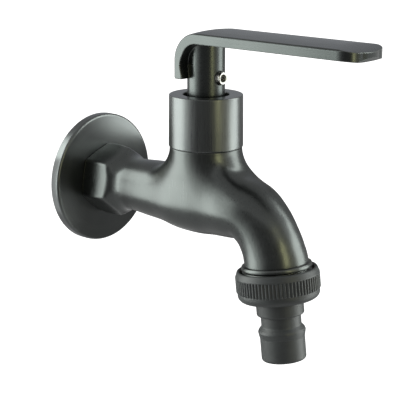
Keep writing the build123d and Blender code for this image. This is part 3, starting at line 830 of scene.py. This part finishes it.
        heights, halves_x, halves_y = np.array(self.neck).T
        a = self.curve(points[:, 2], heights, halves_x)
        b = self.curve(points[:, 2], heights, halves_y)
        px, py = points[:, 0] - SPINDLE_X / MM, points[:, 1]
        share = np.sqrt((px / a) ** 2 + (py / b) ** 2) + NO_ZERO
        neck = share * (share - 1) / (np.sqrt((px / a**2) ** 2 + (py / b**2) ** 2) + NO_ZERO)
        neck = np.maximum(neck, self.neck_foot - points[:, 2])

        t = np.clip(np.abs(py) / self.blend_distance, 0, 1)
        reach = ease(t, self.blend_in_line, self.blend_at_sides)
        return self.merge(self.merge(belly, self.hexagon(points), self.hex_blend), neck, reach)

    def skin(self) -> Object:
        """Builds the ground outside as a thin closed shell.

        Returns:
            The skin.
        """
        points, quads = level_surface(self.gap, self.skin_from, self.skin_to, self.skin_step)
        mesh = bpy.data.meshes.new("ground_skin")
        mesh.from_pydata((points * MM).tolist(), [], quads.tolist())
        mesh.shade_smooth()
        piece = add_object("ground_skin", mesh)
        shell = piece.modifiers.new("depth", "SOLIDIFY")
        shell.thickness, shell.offset = self.skin_depth * MM, -1.0
        return piece

    def build(self, finishes: Finishes) -> list[Object]:
        """Dresses the casting and lays its ground skin.

        Args:
            finishes: the tap's materials.

        Returns:
            The casting and the skin.
        """
        # The casting and its skin both take the body's darker gunmetal, whose darkness is painted
        # shade.
        casting = dress(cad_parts["body_casting"], finishes.body)
        skin = dress(self.skin(), finishes.body)
        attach(skin, "tap")
        return [casting, skin]


@dataclass
class Bonnet:
    """The turned sleeve over the headwork. Sizes in millimetres."""

    foot_z: float = 20.8
    top_z: float = 40.4
    foot_radius: float = 14.0
    top_radius: float = 13.85
    mouth_radius: float = 8.7
    thread_radius: float = 9.6
    thread_top_z: float = 33.4
    skirt_radius: float = 12.1
    skirt_top_z: float = 25.6
    segments: int = 192

    def build(self, finishes: Finishes) -> list[Object]:
        """Builds the sleeve and dresses it.

        Args:
            finishes: the tap's materials.

        Returns:
            The sleeve.
        """
        outline = rounded(
            [
                (self.skirt_radius, self.foot_z, 0.1),
                (self.foot_radius, self.foot_z, 0.5),
                (self.top_radius, self.top_z, 0.4),
                (self.mouth_radius, self.top_z, 0.4),
                (self.mouth_radius, self.thread_top_z, 0.1),
                (self.thread_radius, self.thread_top_z, 0.1),
                (self.thread_radius, self.skirt_top_z, 0.1),
                (self.skirt_radius, self.skirt_top_z, 0.1),
            ]
        )
        sleeve = lathe("bonnet_shell", outline, SPINDLE_AXIS, self.segments)
        fit(sleeve, "tap", "bonnet_sleeve", finishes.bonnet)
        return [sleeve]


@dataclass
class Headwork:
    """The ceramic cartridge and its seals, which show only when the tap is taken apart."""

    def build(self, finishes: Finishes) -> list[Object]:
        """Dresses the cartridge's pieces.

        Args:
            finishes: the tap's materials.

        Returns:
            The cartridge's pieces.
        """
        seals = ("seat_seal", "headwork_gasket", "spindle_o_ring_lower", "spindle_o_ring_upper")
        worn = (
            (finishes.brass, ("headwork_housing", "spindle")),
            (finishes.ceramic, ("fixed_disc", "rotating_disc")),
            (finishes.rubber, seals),
            (finishes.white_nylon, ("sleeve_washer", "slide_washer", "spline_bush")),
            (finishes.black_nylon, ("guide_ring",)),
            (finishes.stainless, ("spindle_circlip",)),
        )
        return [dress(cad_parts[name], finish) for finish, names in worn for name in names]


@dataclass
class Lever:
    """The lever's casting and the grub screw that locks it. Sizes in millimetres."""

    screw_radius: float = 2.45
    screw_root: float = 2.05
    screw_pitch: float = 0.8
    screw_tip: float = 4.0
    screw_end: float = 8.45
    thread_from: float = 4.5
    thread_to: float = 8.0
    thread_rows: int = 44
    groove_slope: float = 2.3
    socket_flats: float = 2.5
    socket_depth: float = 2.4
    segments: int = 96

    def screw_form(self, angle: float, radius: float, height: float) -> float:
        """Cuts the thread's helix into the screw's side, and the hexagon into its socket.

        Args:
            angle: the place round the screw.
            radius: the plain round radius there.
            height: the place along the screw.

        Returns:
            The cut radius.
        """
        if radius == self.screw_radius and self.thread_from <= height <= self.thread_to:
            turn = (height / self.screw_pitch - angle / FULL_TURN) % 1.0
            groove = max(0.0, 1 - abs(turn - 0.5) * self.groove_slope)
            turns_in = min(height - self.thread_from, self.thread_to - height) / self.screw_pitch
            depth = (self.screw_radius - self.screw_root) * min(1.0, 0.3 + 2 * turns_in)
            return radius - depth * groove
        if 0 < radius <= self.socket_flats / 2 and height > self.screw_tip + 1:
            side = (angle + math.pi / 6) % (math.pi / 3) - math.pi / 6
            return radius / math.cos(side)
        return radius

    def screw(self) -> Object:
        """Builds the grub screw: a cone point, a helical thread and a hexagon socket.

        Returns:
            The screw.
        """
        lip, flat, end = self.screw_radius, self.socket_flats / 2, self.screw_end
        length = self.thread_to - self.thread_from
        side = [
            (lip, self.thread_from + length * row / self.thread_rows)
            for row in range(self.thread_rows + 1)
        ]
        outline = [
            (0.0, self.screw_tip),
            (self.screw_root - 0.4, self.screw_tip),
            *side,
            (lip - 0.02, end - 0.35),
            (lip - 0.1, end - 0.14),
            (lip - 0.26, end - 0.03),
            (lip - 0.42, end),
            (flat + 0.3, end - 0.02),
            (flat + 0.12, end - 0.14),
            (flat, end - 0.36),
            (flat, end - self.socket_depth + 0.1),
            (flat - 0.05, end - self.socket_depth),
            (0.0, end - self.socket_depth - 0.4),
        ]
        return lathe("grub_screw_steel", outline, GRUB_AXIS, self.segments, self.screw_form)

    def build(self, finishes: Finishes) -> list[Object]:
        """Dresses the handle and builds its screw.

        Args:
            finishes: the tap's materials.

        Returns:
            The lever's pieces.
        """
        handle = dress(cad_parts["lever_handle"], finishes.lever)
        screw = self.screw()
        fit(screw, "lever", "grub_screw", finishes.stainless)
        return [handle, screw]


@dataclass
class HoseAdapter:
    """The union nut, the hose nipple that it holds and their washer. Sizes in millimetres."""

    nut_top: float = -2.5
    nut_bottom: float = 9.0
    nut_radius: float = 15.6
    nut_skirt_radius: float = 15.2
    nut_bore_radius: float = 13.3
    nut_lip_radius: float = 9.15
    rib_count: int = 72
    rib_length: float = 5.55
    rib_height: float = 0.45
    # A rib takes a share of its pitch, has a rounded crown, and runs out at its lower end.
    rib_share: float = 0.72
    rib_crown: float = 0.6
    rib_run_out: float = 0.35
    rib_end_height: float = 0.12
    steps_per_rib: int = 12
    nipple_segments: int = 144

    def rib_form(self, angle: float, radius: float, height: float) -> float:
        """Lowers the nut's band between the ribs.

        Args:
            angle: the place round the nut.
            radius: the plain round radius there.
            height: the place along the nut.

        Returns:
            The lowered radius.
        """
        if radius != self.nut_radius or not 0 <= height <= self.rib_length:
            return radius
        place = (angle / FULL_TURN * self.rib_count) % 1.0
        across = abs(place - 0.5) * 2
        crest = max(0.0, 1 - (across / self.rib_share) ** 3) ** self.rib_crown
        end = min(1.0, (self.rib_length - height) / self.rib_run_out)
        rise = self.rib_height * crest * (self.rib_end_height + (1 - self.rib_end_height) * end)
        return self.nut_radius - self.rib_height + rise

    def nut(self) -> Object:
        """Builds the nut, with a plain rim, a band of round-topped ribs and a rounded skirt.

        Returns:
            The nut.
        """
        top, foot = self.nut_top, self.nut_bottom
        skirt, lip, bore = self.nut_skirt_radius, self.nut_lip_radius, self.nut_bore_radius
        band = [
            (self.nut_radius, self.rib_length * share)
            for share in (0.0, 0.03, 0.07, 0.13, 0.25, 0.5, 0.75, 0.87, 0.93, 0.97, 1.0)
        ]
        # (radius, distance below the nut's top), and then (radius, distance above its foot)
        rim = [(14.2, 0), (14.45, 0), (14.72, 0.1), (14.9, 0.38), (15.12, 1.0), (15.4, 1.75)]
        rim += [(15.55, 2.08), (15.6, 2.3), (15.58, 2.47)]
        under = [(skirt, 2.3), (15.12, 1.7), (14.85, 1.15), (14.4, 0.6), (13.8, 0.2), (13.2, 0.02)]
        under += [(12.6, 0), (9.6, 0), (9.3, 0.08), (lip, 0.3), (lip, 2.1), (bore, 2.1)]
        outline = [
            *((radius, top + below) for radius, below in rim),
            *band,
            (skirt, self.rib_length + 0.02),
            (skirt, self.rib_length + 0.5),
            *((radius, foot - above) for radius, above in under),
            (bore, top + 0.9),
        ]
        segments = self.rib_count * self.steps_per_rib
        return lathe("union_nut_shell", outline, OUTLET_AXIS, segments, self.rib_form)

    def nipple(self) -> Object:
        """Builds the nipple: flange, collar, neck, ridge, barrel and bore.

        Returns:
            The nipple.
        """
        flange = [(5.8, 5.3, 0.2), (12.4, 5.3, 0.1), (12.4, 6.8, 0.1), (8.83, 6.8, 0.1)]
        collar = [(8.83, 14.8, 0.75), (7.46, 14.8, 0.25), (7.46, 18.9, 0.8)]
        ridge = [(8.55, 20.2, 0.5), (8.85, 21.0, 0.5), (8.45, 23.0, 0.15), (8.33, 23.12, 0.1)]
        barrel = [(8.33, 32.05, 1.5), (5.8, 32.05, 0.5)]
        outline = rounded(flange + collar + ridge + barrel)
        return lathe("hose_nipple_shell", outline, OUTLET_AXIS, self.nipple_segments)

    def build(self, finishes: Finishes) -> list[Object]:
        """Builds the nut and the nipple and dresses them and the washer.

        Args:
            finishes: the tap's materials.

        Returns:
            The adapter's pieces.
        """
        nut, nipple = self.nut(), self.nipple()
        fit(nut, "nut", "union_nut", finishes.black_nylon)
        fit(nipple, "adapter", "hose_nipple", finishes.black_nylon)
        return [nut, nipple, dress(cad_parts["nipple_washer"], finishes.rubber)]


# ---------------------------------------------------------------- the studio


class PanelKind(Enum):
    """What stands round the object: a lamp behind cloth, or a card that only reflects."""

    SOFTBOX = "softbox"
    CARD = "card"


@dataclass(frozen=True)
class Panel:
    """A softbox or card. Its bearing turns from the camera's side, positive to its right.

    Its width and height are the angles that it spans, in degrees, and its distance is in metres.
    """

    name: str
    bearing: float
    elevation: float
    wide: float
    high: float
    glow: float
    distance: float
    colour: str = "#ffffff"
    kind: PanelKind = PanelKind.CARD


@dataclass(frozen=True)
class Flag:
    """A small board near the tap, square to Y, dimmer than the lamp that it hides there.

    Only reflections show it. Sizes in millimetres.
    """

    name: str
    place: Point3
    wide: float
    high: float
    glow: float


@dataclass
class Studio:
    """A pale floor, soft lamps, reflecting cards, flags and the camera."""

    centre: Vector
    camera_place: Point3 = (0.37405, -0.35865, 0.122125)
    camera_bearing: float = -48.38
    camera_elevation: float = 14.38
    camera_roll: float = 0.0907
    lens: float = 116.964
    floor_z: float = -0.8
    floor_size: float = 18.0
    ambient: float = 0.45

    panels: tuple[Panel, ...] = (
        Panel("softbox_left", -95, 9, 48, 66, 4.2, 0.35, "#fafffb", PanelKind.SOFTBOX),
        Panel("softbox_right", 94.5, 7, 36, 74, 4.1, 0.6, "#fafffb", PanelKind.SOFTBOX),
        Panel("card_left_near", -64, 0, 15, 84, 1.5, 0.95, "#fafffb"),
        Panel("card_left_far", -49, 0, 16, 84, 0.5, 0.97),
        Panel("card_front", 0, -5, 84, 84, 0.14, 1.0),
        Panel("card_right", 64, -5, 48, 84, 0.5, 1.05, "#f8f5e0"),
        Panel("card_warm_strip", 36, 12, 11, 30, 4.0, 0.4, "#f4efba"),
        Panel("card_side_left", -91, -5, 60, 84, 0.35, 1.2),
        Panel("card_side_right", 101, -5, 40, 84, 0.25, 1.1),
        Panel("card_back_right", 152, -5, 72, 84, 0.3, 1.15),
        Panel("card_back_left", -152, -5, 72, 84, 0.3, 1.25),
        Panel("card_back", 180, 14, 60, 44, 0.46, 1.0, "#f4f8ff"),
        Panel("card_top", 180, 88, 100, 100, 0.45, 0.9),
        Panel("card_low", 0, -89, 110, 110, 0.5, 0.5),
    )
    flags: tuple[Flag, ...] = (
        Flag("flag_face_low", (50, 36, -34), 90, 88, 0.22),
        Flag("flag_face_high", (62, 36, 18), 44, 16, 0.22),
        Flag("flag_rim", (-13.5, -31, -6), 24, 44, 1.5),
        Flag("flag_lever", (162, 40, 54), 80, 56, 0.8),
    )

    def direction(self, bearing: float, elevation: float) -> Vector:
        """Gives a unit vector from the object.

        Args:
            bearing: degrees from the camera's side, positive to its right.
            elevation: degrees above the horizon.

        Returns:
            The direction.
        """
        turn = math.radians(self.camera_bearing + bearing)
        rise = math.radians(elevation)
        return Vector(
            (math.cos(rise) * math.cos(turn), math.cos(rise) * math.sin(turn), math.sin(rise))
        )

    def camera(self) -> None:
        """Sets up the camera at the photograph's angle."""
        back = self.direction(0, self.camera_elevation)
        right = Vector((-back.y, back.x, 0)).normalized()
        up = back.cross(right)
        turn = Matrix((right, up, back)).transposed()
        roll = Matrix.Rotation(math.radians(self.camera_roll), 3, "Z")
        data = bpy.data.cameras.new("photograph_camera")
        data.lens, data.sensor_width = self.lens, 36.0
        data.clip_start, data.clip_end = 0.01, 100.0
        camera = add_object("photograph_camera", data)
        camera.matrix_world = Matrix.Translation(self.camera_place) @ (turn @ roll).to_4x4()
        bpy.context.scene.camera = camera

    def board(self, name: str, wide: float, high: float, material: Material) -> Object:
        """Makes a flat rectangle about the origin, as a part of the stage.

        Args:
            name: its name.
            wide: its length along X.
            high: its length along Y.
            material: its material.

        Returns:
            The rectangle.
        """
        mesh = bpy.data.meshes.new(name)
        x, y = wide / 2, high / 2
        mesh.from_pydata([(-x, -y, 0), (x, -y, 0), (x, y, 0), (-x, y, 0)], [], [(0, 1, 2, 3)])
        mesh.materials.append(material)
        made = add_object(name, mesh)
        return made

    def panel(self, panel: Panel) -> None:
        """Hangs one softbox or card, facing the object.

        Args:
            panel: what to hang.
        """
        away = self.direction(panel.bearing, panel.elevation)
        wide, high = (
            2 * panel.distance * math.tan(math.radians(angle / 2))
            for angle in (panel.wide, panel.high)
        )
        if panel.kind is PanelKind.SOFTBOX:
            data = bpy.data.lights.new(panel.name, "AREA")
            data.shape, data.size, data.size_y = "RECTANGLE", wide, high
            data.energy = panel.glow * math.pi * wide * high
            data.color = linear(panel.colour)[:3]
            made = add_object(panel.name, data)
        else:
            glow = self.glow_material(panel.name, panel.glow, panel.colour)
            made = self.board(panel.name, wide, high, glow)
            made.visible_diffuse = False
            made.visible_shadow = False
            made.visible_volume_scatter = False
        made.visible_camera = False
        place = Matrix.Translation(self.centre + away * panel.distance)
        made.matrix_world = place @ away.to_track_quat("Z", "Y").to_matrix().to_4x4()

    def flag(self, flag: Flag) -> None:
        """Stands one board beside the tap.

        Args:
            flag: what to stand, and where.
        """
        glow = self.glow_material(flag.name, flag.glow)
        board = self.board(flag.name, flag.wide * MM, flag.high * MM, glow)
        upright = Matrix.Rotation(math.pi / 2, 4, "X")
        board.matrix_world = Matrix.Translation(Vector(flag.place) * MM) @ upright
        board.visible_camera = False
        board.visible_diffuse = False

    def glow_material(self, name: str, glow: float, colour: str = "#ffffff") -> Material:
        """Makes an even glow, which only reflections see.

        Args:
            name: the material's name.
            glow: how bright it looks, where 1 is white.
            colour: its sRGB colour.

        Returns:
            The material.
        """
        made = bpy.data.materials.new(name)
        tree = blank_tree(made)
        light = add_node(tree, "ShaderNodeEmission", {"Color": linear(colour), "Strength": glow})
        add_node(tree, "ShaderNodeOutputMaterial", links={"Surface": light.outputs[0]})
        return made

    def seen(self, tree: NodeTree) -> NodeSocket:
        """Tells what the camera, a mirror or a glass sees from other light.

        Args:
            tree: the nodes of the floor or the world.

        Returns:
            1 where it is seen, and 0 for other light.
        """
        path = add_node(tree, "ShaderNodeLightPath")
        seen = path.outputs["Is Camera Ray"]
        for ray in ("Is Glossy Ray", "Is Transmission Ray"):
            links = {0: seen, 1: path.outputs[ray]}
            seen = add_node(tree, "ShaderNodeMath", {"operation": "MAXIMUM"}, links).outputs[0]
        return seen

    def floor(self) -> None:
        """Lays the pale floor, which keeps the object's shadow."""
        made = bpy.data.materials.new("pale_floor")
        floor = self.board("floor", self.floor_size, self.floor_size, made)
        floor.location = (self.centre.x, self.centre.y, self.floor_z)
        tree = blank_tree(made)
        links = {"Vector": add_node(tree, "ShaderNodeTexCoord").outputs["Object"]}
        noise = add_node(tree, "ShaderNodeTexNoise", {"Scale": 3.0, "Detail": 2.0}, links)
        tints = {"data_type": "RGBA", 6: linear("#f4f4f2"), 7: linear("#f8f8f7")}
        pale = add_node(tree, "ShaderNodeMix", tints, {0: noise.outputs["Fac"]})
        dull = add_node(tree, "ShaderNodeBsdfDiffuse", links={"Color": pale.outputs[2]})
        white = {"Color": linear("#ffffff")}
        lift = add_node(tree, "ShaderNodeEmission", white, {"Strength": self.seen(tree)})
        links = {0: dull.outputs[0], 1: lift.outputs[0]}
        both = add_node(tree, "ShaderNodeAddShader", links=links)
        add_node(tree, "ShaderNodeOutputMaterial", links={"Surface": both.outputs[0]})

    def world(self) -> None:
        """Makes the room white where it is seen and dimmer where it only lights."""
        world = bpy.data.worlds.new("white_room")
        tree = blank_tree(world)
        levels = {"To Min": self.ambient, "To Max": 1.0}
        level = add_node(tree, "ShaderNodeMapRange", levels, {"Value": self.seen(tree)})
        links = {"Strength": level.outputs[0]}
        background = add_node(tree, "ShaderNodeBackground", {"Color": linear("#ffffff")}, links)
        add_node(tree, "ShaderNodeOutputWorld", links={"Surface": background.outputs[0]})
        bpy.context.scene.world = world

    def build(self) -> None:
        """Sets up the whole studio."""
        bpy.context.scene.view_settings.view_transform = "Standard"
        self.camera()
        self.world()
        self.floor()
        for panel in self.panels:
            self.panel(panel)
        for flag in self.flags:
            self.flag(flag)


def main() -> None:
    """Builds the studio and the tap's sub-assemblies in order."""
    logging.basicConfig(level=logging.INFO, format="%(name)s: %(message)s")
    finishes = Finishes()
    Studio(centre=Vector((60 * MM, 0, 0))).build()
    parts = (WallFlange(), BodyCasting(), Bonnet(), Headwork(), Lever(), HoseAdapter())
    for part in parts:
        for piece in part.build(finishes):
            LOG.info("%s: %s, %d faces", type(part).__name__, piece.name, len(piece.data.polygons))


if __name__ == "__main__":
    main()
